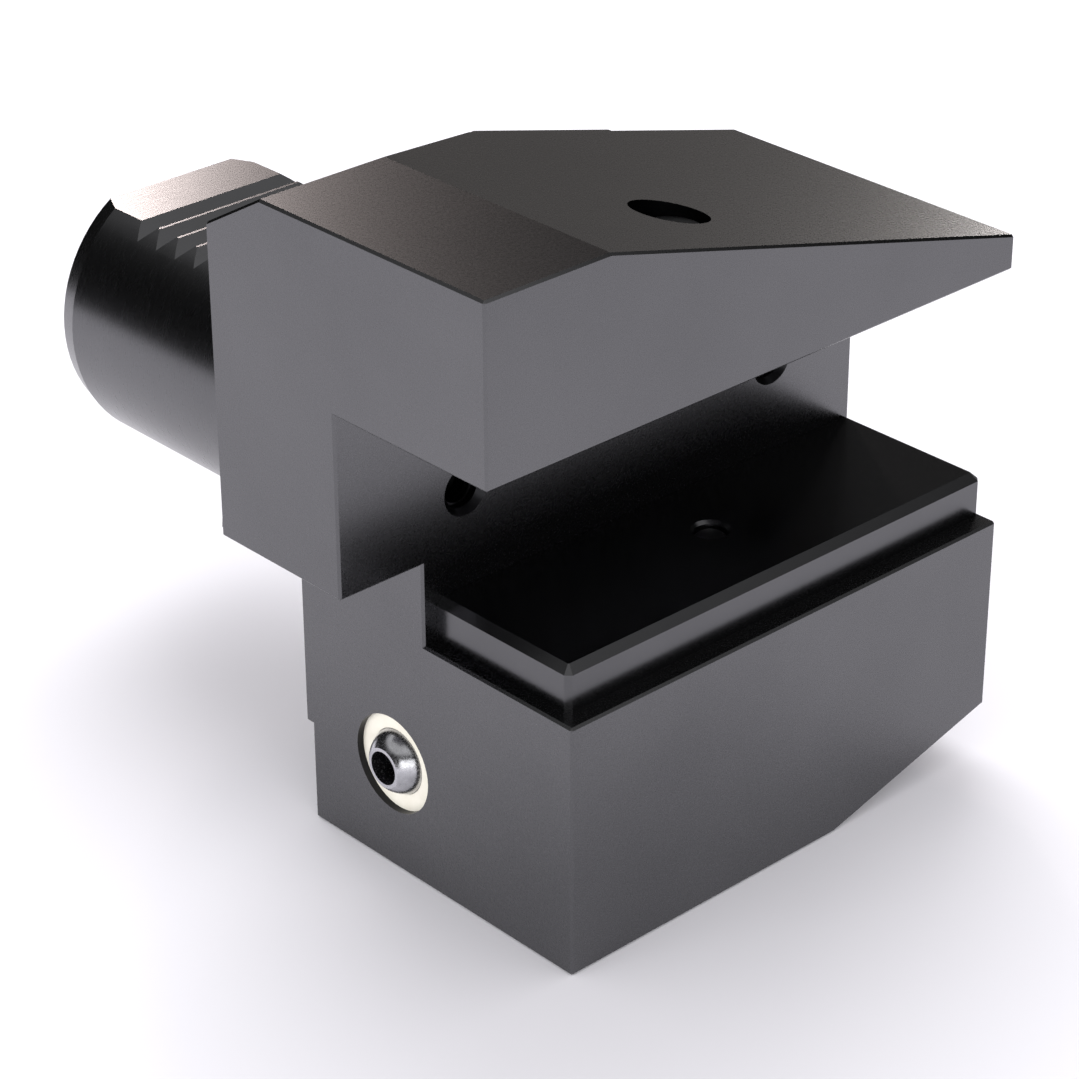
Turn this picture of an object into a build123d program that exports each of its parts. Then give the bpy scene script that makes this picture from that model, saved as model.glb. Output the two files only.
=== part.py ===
from build123d import *
from math import radians, sqrt, tan
import os

# Tool holder with a toothed cylindrical shank and a crosswise slot for a square turning tool.
# Sizes are in millimetres. The origin is on the shank axis, at the flange's contact face.
# +Y runs along the shank, away from the slot, +Z is up and the tool lies along X.

# Shank
shank_radius = 20.0
shank_length = 63.0
shank_lead_length = 3.1
shank_lead_depth = 0.85
shank_groove_start = 6.3
shank_groove_width = 2.4
shank_groove_depth = 2.0
shank_seam_angle = 127.5

# Teeth on the flat of the shank
tooth_pitch = 4.0
tooth_depth = 1.8
tooth_count = 8
tooth_flat_height = 16.2
tooth_field_end = 54.1

# Flange
flange_radius = 41.5
flange_pad_thickness = 1.3
body_width = 85.0
body_top = 48.0
body_foot = 42.4
taper_angle = 14.82
top_flat_width = 18.1
flange_shoulder_height = 2.3
back_slope_start = 11.3
back_slope_drop = 0.58
edge_break = 0.3
ridge_angle = 35.0

# Tool slot
slot_wall = -23.0
slot_depth = 25.3
seat_height = 25.8
ledge_height = -8.5

# Lower block
block_width = 72.7
block_slope_start = 44.9

# Clamping plate and its screws
plate_length = 70.7
plate_depth = 22.3
plate_thickness = 5.8
plate_front = -45.6
plate_screw_x = 7.2
plate_screw_y = -33.0
plate_edge = 1.0
plate_corner = 0.7
plate_hole_edge = 0.4
clamp_screw_radius = 6.0
clamp_screw_length = 25.0
clamp_screw_socket = 6.0
clamp_screw_offset = 20.0
plate_screw_radius = 2.1
plate_screw_length = 25.0
plate_screw_recess = 0.8
plate_screw_head_radius = 3.5
plate_screw_head_height = 4.0
plate_screw_socket = 3.0
plate_screw_shoulder = -17.0
plate_screw_pocket_radius = 4.5
plate_screw_chamfer = 0.4
spring_wire = 0.9
spring_radius = 3.0
spring_turns = 3

# Ends of the headless screws, as a share of their radius
screw_end_chamfer = 0.14

# Screw in the sloping top, with the pad on its point
top_screw_x = -2.44
top_screw_y = -34.75
top_screw_radius = 4.7
top_screw_length = 11.0
top_screw_top = 39.9
top_screw_socket = 5.0
point_radius = 2.4
point_length = 1.5
pad_radius = 3.6
pad_thickness = 2.6
pad_chamfer = 0.3

# Coolant way and nozzle
nozzle_y = -16.6
nozzle_z = -27.6
nozzle_mouth_radius = 6.55
nozzle_recess = 0.95
nozzle_ring_depth = 3.6
nozzle_pocket_radius = 5.0
nozzle_pocket_depth = 7.4
ball_radius = 4.45
ball_depth = 2.1
ball_tip_radius = 2.65
ball_bore_radius = 2.2
ball_inlet_radius = 2.85
seal_front = 5.6
seal_inner_radius = 2.9
channel_radius = 2.5
inlet_x = -18.0
inlet_seat_radius = 4.8
inlet_seat_depth = 1.4

# Tapped holes in the wall of the slot
wall_hole_radius = 2.5
wall_hole_mouth = 3.3
wall_hole_depth = 14.0
wall_hole_x = (-23.3, 27.7)
wall_hole_z = 9.8

# Gaps, and how far a cut runs past the material
screw_gap = 0.05
ball_gap = 0.05
tip_gap = 0.1
shaft_gap = 0.3
seal_gap = 0.03
cut_margin = 1.0

# Places that follow from the sizes above
left_side = -body_width / 2
right_side = body_width / 2
taper = tan(radians(taper_angle))
slope_start = left_side + top_flat_width
right_end_top = body_top - (right_side - slope_start) * taper
block_left = right_side - block_width
foot_slope_start = block_left + block_slope_start
block_tip = -body_foot + (right_side - foot_slope_start) * taper
plate_top = ledge_height + plate_thickness
clamp_screw_x = (plate_screw_x - clamp_screw_offset, plate_screw_x + clamp_screw_offset)
ball_x = block_left + ball_depth


def hexagon(across_flats):
    """Socket outline, in the sketch that is being drawn."""
    RegularPolygon(radius=across_flats / 2, side_count=6, major_radius=False)


def sharp_outer_edges(solid):
    """Outside corners of a solid, without the shallow ridges of its tapers."""
    chosen = ShapeList()
    for edge in solid.edges():
        first, second = [face for face in solid.faces() if edge in face.edges()]
        turn = first.normal_at(edge @ 0.5).get_angle(second.normal_at(edge @ 0.5))
        if turn > ridge_angle and not edge.is_interior:
            chosen.append(edge)
    return chosen


# Outline of the flange seen along the shank, from the left shoulder over the top to the foot
flange_outline = [
    (left_side, flange_shoulder_height),
    (left_side, body_top),
    (slope_start, body_top),
    (right_side, right_end_top),
    (right_side, block_tip),
    (foot_slope_start, -body_foot),
    (block_left, -body_foot),
    (block_left, flange_shoulder_height),
]


# One machined piece: shank, flange, upper jaw and lower block

with BuildPart() as holder_body:
    with BuildSketch(Plane.XZ.offset(flange_pad_thickness)):
        with BuildLine():
            Polyline(*flange_outline, close=True)
        make_face()
    extrude(amount=-slot_wall - flange_pad_thickness)

    with BuildSketch(Plane.XZ.offset(-slot_wall)):
        with BuildLine():
            Polyline(
                (left_side, seat_height),
                (left_side, body_top),
                (slope_start, body_top),
                (right_side, right_end_top),
                (right_side, seat_height),
                close=True,
            )
        make_face()
    extrude(amount=slot_depth)

    with BuildSketch(Plane.XZ.offset(-slot_wall)):
        with BuildLine():
            Polyline(
                (block_left, ledge_height),
                (block_left, -body_foot),
                (foot_slope_start, -body_foot),
                (right_side, block_tip),
                (right_side, ledge_height),
                close=True,
            )
        make_face()
    extrude(amount=slot_depth)

    # Slope along the top of the back
    with BuildSketch(Plane.YZ):
        with BuildLine():
            Polyline(
                (-back_slope_start, body_top),
                (cut_margin, body_top - (back_slope_start + cut_margin) * back_slope_drop),
                (cut_margin, body_top + cut_margin),
                (-back_slope_start, body_top + cut_margin),
                close=True,
            )
        make_face()
    extrude(amount=body_width / 2, both=True, mode=Mode.SUBTRACT)

    # Broken edges
    chamfer(sharp_outer_edges(holder_body.part), length=edge_break)

    # Contact pad of the flange, round where the block leaves room for it
    with BuildSketch(Plane.XZ):
        Circle(flange_radius)
        with BuildSketch(mode=Mode.PRIVATE) as flange_shape:
            with BuildLine():
                Polyline(*flange_outline, close=True)
            make_face()
        offset(flange_shape.sketch, amount=-edge_break, mode=Mode.INTERSECT)
    extrude(amount=flange_pad_thickness)

    # Shank, with its seal groove and its lead; the seam of its wall lies below, clear of the teeth
    with BuildSketch(Plane.XY.rotated((0, shank_seam_angle, 0))):
        with BuildLine():
            Polyline(
                (0, 0),
                (shank_radius, 0),
                (shank_radius, shank_groove_start),
                (shank_radius - shank_groove_depth, shank_groove_start),
                (shank_radius - shank_groove_depth, shank_groove_start + shank_groove_width),
                (shank_radius, shank_groove_start + shank_groove_width),
                (shank_radius, shank_length - shank_lead_length),
                (shank_radius - shank_lead_depth, shank_length),
                (0, shank_length),
                close=True,
            )
        make_face()
    revolve(axis=Axis.Y)

    # Row of teeth across the top of the shank
    field_start = tooth_field_end - tooth_depth - (tooth_count - 1) * tooth_pitch - tooth_depth
    field_top = shank_radius + cut_margin
    with BuildSketch(Plane.YZ):
        with BuildLine():
            outline = [(field_start - (field_top - tooth_flat_height), field_top)]
            for i in range(tooth_count):
                valley = field_start + tooth_depth + i * tooth_pitch
                outline.append((valley - tooth_depth, tooth_flat_height))
                outline.append((valley, tooth_flat_height - tooth_depth))
                outline.append((valley + tooth_depth, tooth_flat_height))
            outline.append((shank_length + cut_margin, tooth_flat_height))
            outline.append((shank_length + cut_margin, field_top))
            Polyline(*outline, close=True)
        make_face()
    extrude(amount=shank_radius, both=True, mode=Mode.SUBTRACT)

    # Tapped holes of the two clamping screws
    with Locations(*[(x, plate_screw_y, -body_foot) for x in clamp_screw_x]):
        Hole(clamp_screw_radius + screw_gap, depth=ledge_height + body_foot)

    # Way for the plate's screw and pocket for its head and spring
    screw_foot = (plate_screw_x, plate_screw_y, -body_foot)
    with Locations(Plane(screw_foot, x_dir=(1, 0, 0), z_dir=(0, 0, -1))):
        CounterBoreHole(
            plate_screw_radius + shaft_gap,
            plate_screw_pocket_radius,
            plate_screw_shoulder + body_foot,
            depth=ledge_height + body_foot,
        )

    # Hole of the top screw, upright through the sloping jaw
    with Locations((top_screw_x, top_screw_y, body_top)):
        Hole(top_screw_radius + screw_gap, depth=body_top - seat_height)

    # Nozzle pocket in the left side and the two drilled coolant ways
    with Locations(Plane((block_left, nozzle_y, nozzle_z), x_dir=(0, 1, 0), z_dir=(-1, 0, 0))):
        Hole(nozzle_mouth_radius, depth=nozzle_ring_depth)
        Hole(nozzle_pocket_radius, depth=nozzle_pocket_depth)
        Hole(channel_radius, depth=inlet_x - block_left + channel_radius)
    with Locations(Plane((inlet_x, 0, nozzle_z), x_dir=(1, 0, 0), z_dir=(0, 1, 0))):
        CounterBoreHole(channel_radius, inlet_seat_radius, inlet_seat_depth, depth=-nozzle_y + channel_radius)

    # Two tapped holes in the slot's wall
    for x in wall_hole_x:
        with Locations(Plane((x, slot_wall, wall_hole_z), x_dir=(1, 0, 0), z_dir=(0, -1, 0))):
            CounterSinkHole(wall_hole_radius, wall_hole_mouth, depth=wall_hole_depth, counter_sink_angle=90)


# Plate that lifts and presses the tool against the upper jaw

with BuildPart() as clamp_plate:
    with BuildSketch(Plane.XY.offset(ledge_height)):
        with Locations((right_side, plate_front)):
            Rectangle(plate_length, plate_depth, align=(Align.MAX, Align.MIN))
    extrude(amount=plate_thickness)
    # Its back edge stays sharp, where the plate lies against the slot's wall
    chamfer(clamp_plate.edges().filter_by(Axis.Z).group_by(Axis.Y)[0], length=plate_corner)
    top_edges = clamp_plate.faces().sort_by(Axis.Z)[-1].edges()
    chamfer(top_edges.sort_by(Axis.Y)[:-1], length=plate_edge)
    with Locations((plate_screw_x, plate_screw_y, plate_top)):
        CounterSinkHole(plate_screw_radius, plate_screw_radius + plate_hole_edge, counter_sink_angle=90)


# Screw that holds the plate from below, threaded into it

head_top = plate_top - plate_screw_recess - plate_screw_length

with BuildPart() as plate_screw:
    with BuildSketch(Plane.XY.offset(head_top - plate_screw_head_height)):
        with Locations((plate_screw_x, plate_screw_y)):
            Circle(plate_screw_head_radius)
    extrude(amount=plate_screw_head_height)
    chamfer(plate_screw.edges().sort_by(Axis.Z)[0], length=plate_screw_chamfer)
    with BuildSketch(Plane.XY.offset(head_top)):
        with Locations((plate_screw_x, plate_screw_y)):
            Circle(plate_screw_radius)
    extrude(amount=plate_screw_length)
    chamfer(plate_screw.edges().sort_by(Axis.Z)[-1], length=plate_screw_chamfer)
    with BuildSketch(Plane.XY.offset(head_top - plate_screw_head_height)):
        with Locations((plate_screw_x, plate_screw_y)):
            hexagon(plate_screw_socket)
    extrude(amount=plate_screw_head_height / 2, mode=Mode.SUBTRACT)


# Spring round that screw, between the head and the shoulder in the block

spring_low = head_top + spring_wire / 2
spring_high = plate_screw_shoulder - spring_wire / 2
spring_height = spring_high - spring_low

with BuildPart() as plate_spring:
    with BuildLine() as coil:
        Helix(
            pitch=spring_height / spring_turns,
            height=spring_height,
            radius=spring_radius,
            center=(plate_screw_x, plate_screw_y, spring_low),
        )
    with BuildSketch(Plane(origin=coil.line @ 0, z_dir=coil.line % 0)):
        Rectangle(spring_wire, spring_wire)
    sweep(path=coil.line, is_frenet=True)


def set_screw(x, y, low, length, radius, across_flats, socket_at_top, point=0):
    """Headless screw with chamfered ends, a hexagon socket in one and perhaps a narrow point."""
    with BuildPart() as screw:
        with BuildSketch(Plane.XY.offset(low)):
            with Locations((x, y)):
                Circle(radius)
        extrude(amount=length)
        chamfer(screw.edges().filter_by(GeomType.CIRCLE), length=radius * screw_end_chamfer)
        socket_depth = across_flats
        socket_floor = low + length - socket_depth if socket_at_top else low
        with BuildSketch(Plane.XY.offset(socket_floor)):
            with Locations((x, y)):
                hexagon(across_flats)
        extrude(amount=socket_depth, mode=Mode.SUBTRACT)
        if point:
            with BuildSketch(Plane.XY.offset(low)):
                with Locations((x, y)):
                    Circle(point_radius)
            extrude(amount=-point)
    return screw


# Screws that push the plate up from below

clamp_screw_low = ledge_height - tip_gap - clamp_screw_length
clamp_screw_left = set_screw(
    clamp_screw_x[0], plate_screw_y, clamp_screw_low,
    clamp_screw_length, clamp_screw_radius, clamp_screw_socket, socket_at_top=False,
)
clamp_screw_right = set_screw(
    clamp_screw_x[1], plate_screw_y, clamp_screw_low,
    clamp_screw_length, clamp_screw_radius, clamp_screw_socket, socket_at_top=False,
)


# Screw in the sloping top, with a narrow point that carries the pad

top_screw_low = top_screw_top - top_screw_length
top_clamp_screw = set_screw(
    top_screw_x, top_screw_y, top_screw_low,
    top_screw_length, top_screw_radius, top_screw_socket, socket_at_top=True, point=point_length,
)

pad_top = top_screw_low - tip_gap
pad_low = pad_top - pad_thickness

with BuildPart() as top_screw_pad:
    with BuildSketch(Plane.XY.offset(pad_low)):
        with Locations((top_screw_x, top_screw_y)):
            Circle(pad_radius)
    extrude(amount=pad_thickness)
    chamfer(top_screw_pad.edges().sort_by(Axis.Z)[0], length=pad_chamfer)
    with Locations((top_screw_x, top_screw_y, pad_top)):
        Hole(point_radius + screw_gap, depth=point_length)


# Nozzle: ring pressed into the mouth, ball with its jet bore, seal behind the ball

ball_centre = (ball_x, nozzle_y, nozzle_z)
ball_plane = Plane(origin=ball_centre, x_dir=(1, 0, 0), z_dir=(0, 0, 1))
ball_axis = Axis(ball_centre, (1, 0, 0))
seat_radius = ball_radius + ball_gap
ring_front = nozzle_recess - ball_depth
ring_back = nozzle_ring_depth - ball_depth

with BuildPart() as nozzle_ring:
    with BuildSketch(ball_plane):
        with BuildLine():
            mouth = sqrt(seat_radius**2 - ring_front**2)
            half_way = sqrt(seat_radius**2 - (ring_front / 2) ** 2)
            ThreePointArc((ring_front, mouth), (ring_front / 2, half_way), (0, seat_radius))
            Polyline(
                (0, seat_radius),
                (ring_back, seat_radius),
                (ring_back, nozzle_mouth_radius),
                (ring_front, nozzle_mouth_radius),
                (ring_front, mouth),
            )
        make_face()
    revolve(axis=ball_axis)

tip_face = -sqrt(ball_radius**2 - ball_tip_radius**2)
inlet_face = sqrt(ball_radius**2 - ball_inlet_radius**2)

with BuildPart() as nozzle_ball:
    with BuildSketch(ball_plane):
        with BuildLine():
            ThreePointArc((tip_face, ball_tip_radius), (0, ball_radius), (inlet_face, ball_inlet_radius))
            Polyline(
                (inlet_face, ball_inlet_radius),
                (inlet_face - ball_inlet_radius + ball_bore_radius, ball_bore_radius),
                (tip_face, ball_bore_radius),
                (tip_face, ball_tip_radius),
            )
        make_face()
    revolve(axis=ball_axis)

with BuildPart() as nozzle_seal:
    with BuildSketch(Plane.YZ.offset(block_left + seal_front)):
        with Locations((nozzle_y, nozzle_z)):
            Circle(nozzle_pocket_radius - screw_gap)
            Circle(seal_inner_radius, mode=Mode.SUBTRACT)
    extrude(amount=nozzle_pocket_depth - seal_front - screw_gap)


# Sealing rings of the shank and of the coolant inlet

with BuildPart() as shank_seal:
    with BuildSketch(Plane.XY):
        with Locations((shank_radius - shank_groove_depth / 2, shank_groove_start + shank_groove_width / 2)):
            Rectangle(shank_groove_depth - 2 * seal_gap, shank_groove_width - 2 * seal_gap)
    revolve(axis=Axis.Y)

with BuildPart() as inlet_seal:
    with BuildSketch(Plane.XY.offset(nozzle_z)):
        with Locations((inlet_x + inlet_seat_radius - inlet_seat_depth / 2, -inlet_seat_depth / 2)):
            Rectangle(inlet_seat_depth - 2 * seal_gap, inlet_seat_depth - 2 * seal_gap)
    revolve(axis=Axis((inlet_x, 0, nozzle_z), (0, 1, 0)))


parts = {
    "holder_body": holder_body,
    "clamp_plate": clamp_plate,
    "plate_screw": plate_screw,
    "plate_spring": plate_spring,
    "clamp_screw_left": clamp_screw_left,
    "clamp_screw_right": clamp_screw_right,
    "top_clamp_screw": top_clamp_screw,
    "top_screw_pad": top_screw_pad,
    "nozzle_ring": nozzle_ring,
    "nozzle_ball": nozzle_ball,
    "nozzle_seal": nozzle_seal,
    "shank_seal": shank_seal,
    "inlet_seal": inlet_seal,
}

os.makedirs("parts", exist_ok=True)
for name, piece in parts.items():
    piece.part.label = name
    export_step(piece.part, f"parts/{name}.step")
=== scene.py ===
import bpy
import bmesh
from math import cos, radians, sin
from mathutils import Matrix, Vector


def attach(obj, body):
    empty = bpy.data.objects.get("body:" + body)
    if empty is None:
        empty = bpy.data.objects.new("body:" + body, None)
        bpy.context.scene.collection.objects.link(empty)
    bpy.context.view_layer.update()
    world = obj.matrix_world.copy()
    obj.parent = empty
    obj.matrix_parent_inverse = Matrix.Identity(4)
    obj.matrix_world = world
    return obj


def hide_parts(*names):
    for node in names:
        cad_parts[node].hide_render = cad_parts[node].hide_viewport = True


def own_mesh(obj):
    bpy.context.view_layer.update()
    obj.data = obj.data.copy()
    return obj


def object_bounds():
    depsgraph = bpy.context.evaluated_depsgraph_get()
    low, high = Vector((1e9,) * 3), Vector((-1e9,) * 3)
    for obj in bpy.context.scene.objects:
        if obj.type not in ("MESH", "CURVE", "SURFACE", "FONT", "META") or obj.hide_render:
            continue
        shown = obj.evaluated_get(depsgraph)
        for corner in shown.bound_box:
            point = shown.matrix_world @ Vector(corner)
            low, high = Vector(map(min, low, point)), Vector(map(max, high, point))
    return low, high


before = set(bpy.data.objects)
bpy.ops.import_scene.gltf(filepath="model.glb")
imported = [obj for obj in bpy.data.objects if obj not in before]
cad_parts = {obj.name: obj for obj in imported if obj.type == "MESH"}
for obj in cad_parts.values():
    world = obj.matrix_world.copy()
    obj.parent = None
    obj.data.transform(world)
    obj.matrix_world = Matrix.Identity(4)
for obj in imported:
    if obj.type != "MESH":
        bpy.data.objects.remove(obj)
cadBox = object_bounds()
mm = 0.001


# Small helpers

def toLinear(hexColour):
    values = [int(hexColour[i:i + 2], 16) / 255 for i in (1, 3, 5)]
    linear = [v / 12.92 if v <= 0.04045 else ((v + 0.055) / 1.055) ** 2.4 for v in values]
    return (*linear, 1.0)


def addNode(tree, kind, links=None, inputs=None, **settings):
    node = tree.nodes.new(kind)
    for name, value in settings.items():
        setattr(node, name, value)
    for socket, value in (inputs or {}).items():
        node.inputs[socket].default_value = value
    for socket, source in (links or {}).items():
        tree.links.new(source, node.inputs[socket])
    return node


def newObject(name, data):
    made = bpy.data.objects.new(name, data)
    bpy.context.scene.collection.objects.link(made)
    return made


def perMetre(sizeInMm):
    return 1.0 / (sizeInMm * mm)  # noise scale that gives features of that size


# Materials: everything is machined metal apart from the ring and the seals

noiseLook = {
    "low": 0.3, "high": 0.7,  # the noise between these is spread over the whole change
    "roughness": 0.55, "grainDetail": 2.0,
}


def newMaterial(name):
    material = bpy.data.materials.new(name)
    material.use_nodes = True
    tree = material.node_tree
    tree.nodes.clear()
    output = addNode(tree, "ShaderNodeOutputMaterial")
    shader = addNode(tree, "ShaderNodeBsdfPrincipled")
    tree.links.new(shader.outputs[0], output.inputs["Surface"])
    return material, tree, shader


def surfaceNoise(tree, place, sizeInMm, detail, stretch=None):
    source = place
    if stretch:  # lines left by a tool: the noise is drawn out round the shank
        source = addNode(tree, "ShaderNodeMapping", {"Vector": place}, {"Scale": stretch}).outputs[0]
    return addNode(
        tree, "ShaderNodeTexNoise", {"Vector": source},
        {"Scale": perMetre(sizeInMm), "Detail": detail, "Roughness": noiseLook["roughness"]},
    ).outputs["Fac"]


def finishedMaterial(name, look, metallic, cloudDetail):
    material, tree, shader = newMaterial(name)
    place = addNode(tree, "ShaderNodeTexCoord").outputs["Object"]

    cloud = surfaceNoise(tree, place, look["cloudSize"], cloudDetail)
    tone = addNode(tree, "ShaderNodeValToRGB", {"Fac": cloud})
    ramp = tone.color_ramp.elements
    ramp[0].position = noiseLook["low"]
    ramp[1].position = noiseLook["high"]
    ramp[0].color = toLinear(look["dark"])
    ramp[1].color = toLinear(look["light"])
    tree.links.new(tone.outputs[0], shader.inputs["Base Color"])

    grain = surfaceNoise(tree, place, look["grainSize"], noiseLook["grainDetail"], look.get("stretch"))
    roughness = addNode(
        tree, "ShaderNodeMapRange", {"Value": grain},
        {"From Min": noiseLook["low"], "From Max": noiseLook["high"],
         "To Min": look["smoothest"], "To Max": look["roughest"]},
    )
    tree.links.new(roughness.outputs[0], shader.inputs["Roughness"])
    bump = addNode(
        tree, "ShaderNodeBump", {"Height": grain},
        {"Strength": look["bump"], "Distance": look["grainHeight"] * mm},
    )
    tree.links.new(bump.outputs[0], shader.inputs["Normal"])
    shader.inputs["Metallic"].default_value = metallic
    return material


def steel(name, look):
    return finishedMaterial(name, look, metallic=1.0, cloudDetail=4.0)


def softMaterial(name, look):
    return finishedMaterial(name, look, metallic=0.0, cloudDetail=3.0)


# Black oxide on milled steel: a dark satin that takes on the tone of what it faces
blackSteel = steel("black_oxide_steel", {
    "dark": "#626264", "light": "#68686a", "cloudSize": 30, "grainSize": 0.35,
    "smoothest": 0.26, "roughest": 0.29, "bump": 0.015, "grainHeight": 0.002,
})
# The same finish on the shank, turned: fine rings round it
turnedSteel = steel("black_oxide_turned", {
    "dark": "#626264", "light": "#68686a", "cloudSize": 22, "grainSize": 0.3, "stretch": (0.12, 1.0, 0.12),
    "smoothest": 0.25, "roughest": 0.28, "bump": 0.02, "grainHeight": 0.002,
})
# Plate: the same oxide over a ground face, a little deeper in tone
plateSteel = steel("black_oxide_plate", {
    "dark": "#5c5c5e", "light": "#626264", "cloudSize": 26, "grainSize": 0.28,
    "smoothest": 0.21, "roughest": 0.24, "bump": 0.015, "grainHeight": 0.001,
})
# Bores: drilled steel darkened almost to black, a painted shade for the depths of the holes, which see
# little light
paintedShadeBoreSteel = steel("bore_painted_shade", {
    "dark": "#262628", "light": "#303032", "cloudSize": 4, "grainSize": 0.2,
    "smoothest": 0.34, "roughest": 0.42, "bump": 0.1, "grainHeight": 0.003,
})
# Screws: harder steel, a greyer and smoother oxide
screwSteel = steel("screw_steel", {
    "dark": "#6c6c6e", "light": "#757577", "cloudSize": 6, "grainSize": 0.2,
    "smoothest": 0.28, "roughest": 0.36, "bump": 0.12, "grainHeight": 0.003,
})
# Drawn spring wire, bright with a dull skin
springSteel = steel("spring_wire", {
    "dark": "#a09c98", "light": "#b0aca8", "cloudSize": 4, "grainSize": 0.15,
    "smoothest": 0.3, "roughest": 0.38, "bump": 0.1, "grainHeight": 0.002,
})
# Polished ball: mirror bright, with a faint haze of fine scratches
polishedSteel = steel("polished_steel", {
    "dark": "#b4b4b8", "light": "#d0d0d4", "cloudSize": 1.2, "grainSize": 0.25,
    "smoothest": 0.16, "roughest": 0.3, "bump": 0.06, "grainHeight": 0.001,
})
# Turned acetal: cream, dense, with a dull sheen
creamAcetal = softMaterial("cream_acetal", {
    "dark": "#ebe6d8", "light": "#f4f0e4", "cloudSize": 2.5, "grainSize": 0.15,
    "smoothest": 0.38, "roughest": 0.5, "bump": 0.1, "grainHeight": 0.004,
})
# Nitrile rubber: nearly black, dull
nitrileRubber = softMaterial("nitrile_rubber", {
    "dark": "#161617", "light": "#1d1d1f", "cloudSize": 3, "grainSize": 0.12,
    "smoothest": 0.5, "roughest": 0.64, "bump": 0.2, "grainHeight": 0.006,
})
print("materials ready")


# Smooth copies of the CAD pieces

mergeDistance = 0.001  # in millimetres


def smoothCopy(node, name, sharpAngle):
    work = bmesh.new()
    work.from_mesh(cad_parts[node].data)
    bmesh.ops.remove_doubles(work, verts=work.verts, dist=mergeDistance * mm)
    work.verts.index_update()
    points = [vert.co.copy() for vert in work.verts]
    faces = [[vert.index for vert in face.verts] for face in work.faces]
    work.free()
    mesh = bpy.data.meshes.new(name)
    mesh.from_pydata(points, [], faces)
    mesh.shade_smooth()
    mesh.set_sharp_from_angle(angle=radians(sharpAngle))
    return newObject(name, mesh)


def dress(piece, materials, body, slotName, *replaced):
    piece.data.materials.clear()
    for material in materials:
        piece.data.materials.append(material)
    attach(piece, body)
    if replaced:
        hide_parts(*replaced)


holderLook = {
    "sharpAngle": 13,  # under the 14.8 degrees between the top's two planes
    "shankStart": 0.01, "shankRadius": 20.0, "tolerance": 0.03,
    # Holes whose walls take the painted shade: a point on the axis, the axis, the radius, and how far the
    # bore reaches either way
    "shadedBores": (
        ((-30.2, -16.6, -27.6), (1, 0, 0), 6.55, 16),
        ((-23.3, -23.0, 9.8), (0, 1, 0), 3.3, 15),
        ((27.7, -23.0, 9.8), (0, 1, 0), 3.3, 15),
        ((-2.44, -34.75, 36.0), (0, 0, 1), 4.75, 12),
        ((7.2, -33.0, -25.0), (0, 0, 1), 4.5, 20),
        ((-12.8, -33.0, -25.0), (0, 0, 1), 6.05, 20),
        ((27.2, -33.0, -25.0), (0, 0, 1), 6.05, 20),
    ),
}
milledFace, turnedFace, paintedShadeBoreFace = range(3)  # in the order of the holder's materials


# Faces inside the listed holes get the steel darkened as painted shade; the other faces get milled or
# turned steel
def holderFinishAndBoreShade(point):
    x, y, z = point
    tolerance = holderLook["tolerance"]
    if y > holderLook["shankStart"] and (x * x + z * z) ** 0.5 < holderLook["shankRadius"] + tolerance:
        return turnedFace
    for origin, axis, radius, reach in holderLook["shadedBores"]:
        away = point - Vector(origin)
        along = away.dot(Vector(axis))
        if abs(along) < reach and (away - Vector(axis) * along).length < radius + tolerance:
            return paintedShadeBoreFace
    return milledFace


holder = smoothCopy("holder_body", "holder_steel", holderLook["sharpAngle"])
dress(holder, [blackSteel, turnedSteel, paintedShadeBoreSteel], "holder", "black_steel", "holder_body")
for face in holder.data.polygons:
    face.material_index = holderFinishAndBoreShade(face.center / mm)
print("holder dressed")

# The real plate lies against the slot's wall, where the CAD piece keeps a running gap
plateLook = {"sharpAngle": 25, "backFace": -23.3, "tolerance": 0.01, "closesGapBy": 0.27}
plate = smoothCopy("clamp_plate", "clamp_plate_steel", plateLook["sharpAngle"])
for vertex in plate.data.vertices:
    if vertex.co.y > (plateLook["backFace"] - plateLook["tolerance"]) * mm:
        vertex.co.y += plateLook["closesGapBy"] * mm
dress(plate, [plateSteel], "plate", "black_plate", "clamp_plate")

smallPieceAngle = 28
for node, body, slotName, material in (
    ("plate_screw", "plate", "screw_steel", screwSteel),
    ("clamp_screw_left", "left_screw", "screw_steel", screwSteel),
    ("clamp_screw_right", "right_screw", "screw_steel", screwSteel),
    ("top_clamp_screw", "top_screw", "screw_steel", screwSteel),
    ("top_screw_pad", "top_pad", "screw_steel", screwSteel),
    ("nozzle_ring", "holder", "ring_plastic", creamAcetal),
    ("nozzle_ball", "nozzle", "polished_steel", polishedSteel),
    ("nozzle_seal", "nozzle_seat", "seal_rubber", nitrileRubber),
):
    piece = smoothCopy(node, node + "_dressed", smallPieceAngle)
    dress(piece, [material], body, slotName, node)
print("small pieces dressed")


# Wound pieces: thread turns, spring and round seals, each a cord along a helix

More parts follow.
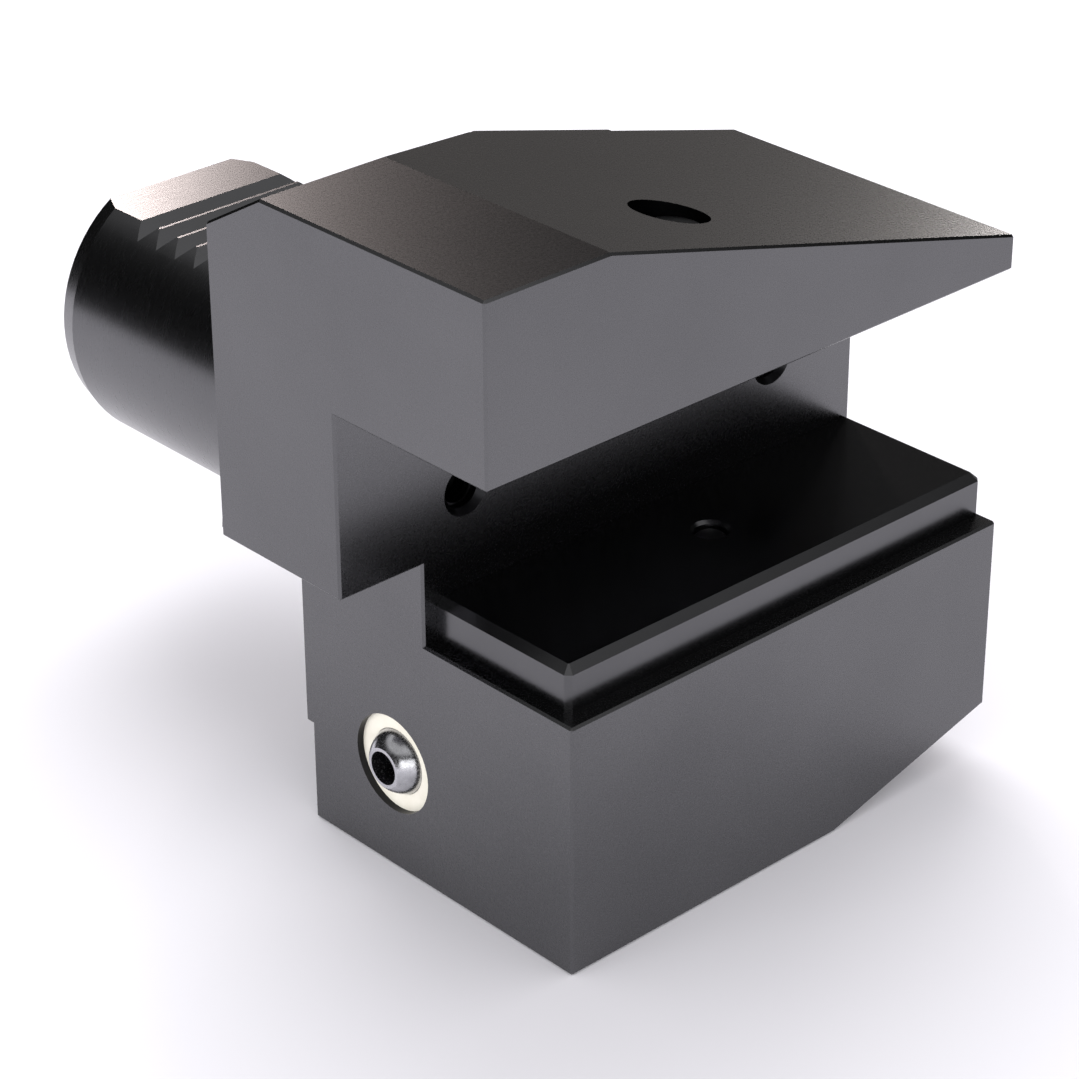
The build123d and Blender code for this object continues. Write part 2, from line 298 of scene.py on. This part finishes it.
def windingNodes():
    tree = bpy.data.node_groups.new("winding", "GeometryNodeTree")
    sockets = tree.interface
    sockets.new_socket("Geometry", in_out="INPUT", socket_type="NodeSocketGeometry")
    for name, kind in (
        ("Radius", "NodeSocketFloat"), ("Height", "NodeSocketFloat"), ("Turns", "NodeSocketFloat"),
        ("Cord Radius", "NodeSocketFloat"), ("Cord Sides", "NodeSocketInt"), ("Steps", "NodeSocketInt"),
        ("Material", "NodeSocketMaterial"),
    ):
        sockets.new_socket(name, in_out="INPUT", socket_type=kind)
    sockets.new_socket("Geometry", in_out="OUTPUT", socket_type="NodeSocketGeometry")
    given = tree.nodes.new("NodeGroupInput").outputs
    path = addNode(tree, "GeometryNodeCurveSpiral", {
        "Resolution": given["Steps"], "Rotations": given["Turns"], "Start Radius": given["Radius"],
        "End Radius": given["Radius"], "Height": given["Height"],
    })
    cord = addNode(tree, "GeometryNodeCurvePrimitiveCircle", {
        "Resolution": given["Cord Sides"], "Radius": given["Cord Radius"],
    })
    wound = addNode(
        tree, "GeometryNodeCurveToMesh", {"Curve": path.outputs[0], "Profile Curve": cord.outputs[0]},
        {"Fill Caps": True},
    )
    real = addNode(tree, "GeometryNodeRealizeInstances", {"Geometry": wound.outputs[0]})
    coated = addNode(tree, "GeometryNodeSetMaterial", {
        "Geometry": real.outputs[0], "Material": given["Material"],
    })
    tree.links.new(coated.outputs[0], tree.nodes.new("NodeGroupOutput").inputs[0])
    return tree


winding = windingNodes()


def wind(name, facts, material):
    base = newObject(name + "_base", bpy.data.meshes.new(name + "_base"))
    modifier = base.modifiers.new("winding", "NODES")
    modifier.node_group = winding
    values = {
        "Radius": facts["radius"] * mm, "Height": facts["height"] * mm, "Turns": facts["turns"],
        "Cord Radius": facts["cord"] * mm, "Cord Sides": facts["sides"], "Steps": facts["steps"],
        "Material": material,
    }
    for socket in winding.interface.items_tree:
        if socket.in_out == "INPUT" and socket.name in values:
            modifier[socket.identifier] = values[socket.name]
    evaluated = base.evaluated_get(bpy.context.evaluated_depsgraph_get())
    mesh = bpy.data.meshes.new_from_object(evaluated)
    bpy.data.objects.remove(base)
    turn = Vector((0, 0, 1)).rotation_difference(Vector(facts["axis"])).to_matrix().to_4x4()
    mesh.transform(Matrix.Translation(Vector(facts["from"]) * mm) @ turn)
    mesh.name = name
    mesh.shade_smooth()
    mesh.set_sharp_from_angle(angle=radians(facts["sharpAngle"]))
    return mesh


def joinedPiece(name, meshes):
    work = bmesh.new()
    for mesh in meshes:
        work.from_mesh(mesh)
    joined = bpy.data.meshes.new(name)
    work.to_mesh(joined)
    work.free()
    return newObject(name, joined)


# Millimetres; the turns start at "from", a little way inside the bore, and "steps" are per turn
threadLook = {"cord": 0.32, "sides": 3, "steps": 40, "sharpAngle": 30}
wallThread = {"axis": (0, 1, 0), "radius": 2.5, "pitch": 1.0, "height": 12}
footThread = {"axis": (0, 0, 1), "radius": 6.05, "pitch": 1.75}
threads = {
    "wall_left": {**wallThread, "from": (-23.3, -22.0, 9.8)},
    "wall_right": {**wallThread, "from": (27.7, -22.0, 9.8)},
    "foot_left": {**footThread, "from": (-12.8, -33, -41.7), "height": 7},
    "foot_right": {**footThread, "from": (27.2, -33, -36.8), "height": 2.4},
}
# The thread turns use the same steel darkened as painted shade for the holes
threadMeshes = []
for name, facts in threads.items():
    turns = facts["height"] / facts["pitch"]
    threadMeshes.append(wind(name, {**threadLook, **facts, "turns": turns}, paintedShadeBoreSteel))
dress(joinedPiece("bore_threads", threadMeshes), [paintedShadeBoreSteel], "holder", "black_steel")

seals = {
    "shank_seal": {"from": (0, 7.5, 0), "radius": 19.0, "cord": 0.97},
    "inlet_seal": {"from": (-18, -0.7, -27.6), "radius": 4.1, "cord": 0.67},
}
sealLook = {"axis": (0, 1, 0), "height": 0, "turns": 1, "sides": 24, "steps": 96, "sharpAngle": 60}
for name, facts in seals.items():
    ring = joinedPiece(name + "_round", [wind(name, {**sealLook, **facts}, nitrileRubber)])
    dress(ring, [nitrileRubber], "holder", "seal_rubber", name)

springLook = {
    "from": (7.2, -33.0, -28.05), "axis": (0, 0, 1), "radius": 3.0, "height": 10.6, "turns": 3.0,
    "cord": 0.45, "sides": 16, "steps": 40, "sharpAngle": 60,
}
spring = joinedPiece("plate_spring_wound", [wind("plate_spring", springLook, springSteel)])
dress(spring, [springSteel], "holder", "spring_steel", "plate_spring")
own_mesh(spring)
print("threads, seals and spring wound")


# Studio: white floor that keeps the shadow, bright ceiling over dim walls, soft lamps

studio = {
    "floorHalfWidth": 300, "floorTone": "#e4e2e8", "floorRoughness": 0.9, "floorGlow": 0.03,
    "wallStrength": 0.02, "ceilingStrength": 0.6,
    "ceilingHeight": 0.667, "ceilingBlend": 0.12,  # both as sines of the elevation
    "domeStrength": 1.02,
}
half = studio["floorHalfWidth"] * mm
floorHeight = cadBox[0][2]
corners = [(x * half, y * half, floorHeight) for x, y in ((-1, -1), (1, -1), (1, 1), (-1, 1))]
floorMesh = bpy.data.meshes.new("floor")
floorMesh.from_pydata(corners, [], [(0, 1, 2, 3)])
floor = newObject("floor", floorMesh)
floorMaterial, floorTree, floorShader = newMaterial("white_floor")
floorShader.inputs["Base Color"].default_value = toLinear(studio["floorTone"])
floorShader.inputs["Roughness"].default_value = studio["floorRoughness"]
floorShader.inputs["Specular IOR Level"].default_value = 0.0
floorShader.inputs["Emission Color"].default_value = (1, 1, 1, 1)
ray = addNode(floorTree, "ShaderNodeLightPath")
seen = addNode(
    floorTree, "ShaderNodeMath",
    {0: ray.outputs["Is Camera Ray"], 1: ray.outputs["Is Glossy Ray"]}, operation="MAXIMUM",
)
seenThrough = addNode(
    floorTree, "ShaderNodeMath",
    {0: seen.outputs[0], 1: ray.outputs["Is Transmission Ray"]}, operation="MAXIMUM",
)
glow = addNode(
    floorTree, "ShaderNodeMath",
    {0: seenThrough.outputs[0]}, {1: studio["floorGlow"]}, operation="MULTIPLY",
)
floorTree.links.new(glow.outputs[0], floorShader.inputs["Emission Strength"])
floorMesh.materials.append(floorMaterial)

world = bpy.data.worlds.new("studio_sky")
bpy.context.scene.world = world
world.use_nodes = True
sky = world.node_tree
sky.nodes.clear()
direction = addNode(sky, "ShaderNodeTexCoord").outputs["Generated"]
elevationSine = addNode(sky, "ShaderNodeSeparateXYZ", {"Vector": direction}).outputs["Z"]
toCeiling = addNode(
    sky, "ShaderNodeMapRange", {"Value": elevationSine},
    {"From Min": studio["ceilingHeight"] - studio["ceilingBlend"], "From Max": studio["ceilingHeight"],
     "To Min": studio["wallStrength"], "To Max": studio["ceilingStrength"]},
)
white = {"Color": (1, 1, 1, 1)}
darkRoom = addNode(sky, "ShaderNodeBackground", {"Strength": toCeiling.outputs[0]}, white)
dome = addNode(sky, "ShaderNodeBackground", None, {**white, "Strength": studio["domeStrength"]})
whiteBack = addNode(sky, "ShaderNodeBackground", None, white)
skyRay = addNode(sky, "ShaderNodeLightPath")
# Metal mirrors a dark room, everything matt is lit by a soft dome, and the camera sees plain white
skyLight = addNode(
    sky, "ShaderNodeMixShader",
    {0: skyRay.outputs["Is Glossy Ray"], 1: dome.outputs[0], 2: darkRoom.outputs[0]},
)
skyMix = addNode(
    sky, "ShaderNodeMixShader",
    {0: skyRay.outputs["Is Camera Ray"], 1: skyLight.outputs[0], 2: whiteBack.outputs[0]},
)
addNode(sky, "ShaderNodeOutputWorld", {"Surface": skyMix.outputs[0]})
world.cycles.sampling_method = "NONE"

# Compass direction and elevation in degrees, distance and size in metres, power in watts;
# metal mirrors a lamp only where it says so
lamps = {
    "soft_back": {
        "from": (38, 52), "distance": 1.4, "size": (1.0, 1.0), "power": 12.0,
        "tint": "#ffffff", "mirrored": False,
    },
    "soft_left": {
        "from": (-80, 8), "distance": 1.4, "size": (0.6, 0.6), "power": 6.0,
        "tint": "#ffffff", "mirrored": False,
    },
    "behind_camera": {
        "from": (-145, 10), "distance": 1.4, "size": (1.2, 0.6), "power": 5.0,
        "tint": "#ffffff", "mirrored": True,
    },
    "spot_back": {
        "from": (32, 22.5), "distance": 4.0, "size": (0.3, 0.3), "power": 15.5,
        "tint": "#fff0ea", "mirrored": True,
    },
    "spot_back_right": {
        "from": (60, 2), "distance": 4.0, "size": (0.3, 0.3), "power": 19.0,
        "tint": "#fff8f4", "mirrored": True,
    },
    "wide_back": {
        "from": (50, 3), "distance": 4.0, "size": (2.0, 0.6), "power": 0.9,
        "tint": "#fff8f4", "mirrored": True,
    },
}
for name, facts in lamps.items():
    azimuth, elevation = (radians(angle) for angle in facts["from"])
    toLamp = Vector((sin(azimuth) * cos(elevation), cos(azimuth) * cos(elevation), sin(elevation)))
    data = bpy.data.lights.new(name, "AREA")
    data.shape = "RECTANGLE"
    data.size, data.size_y = facts["size"]
    data.energy = facts["power"]
    data.color = toLinear(facts["tint"])[:3]
    lamp = newObject(name, data)
    lamp.location = toLamp * facts["distance"]
    lamp.rotation_euler = (-toLamp).to_track_quat("-Z", "Y").to_euler()
    lamp.visible_camera = False
    lamp.visible_glossy = facts["mirrored"]

# Place, lens and sensor in millimetres, turn in degrees, near and far limits in metres
view = {
    "place": (-252.893, -285.573, 192.343), "turn": (61.523856, 0.249418, -42.701265),
    "lens": 113.44, "sensor": 36, "near": 0.01, "far": 50,
}
cameraData = bpy.data.cameras.new("camera")
cameraData.sensor_width = view["sensor"]
cameraData.lens = view["lens"]
cameraData.clip_start = view["near"]
cameraData.clip_end = view["far"]
camera = newObject("camera", cameraData)
camera.location = Vector(view["place"]) * mm
camera.rotation_euler = [radians(angle) for angle in view["turn"]]
bpy.context.scene.camera = camera
bpy.context.scene.view_settings.view_transform = "Standard"
print("studio ready")
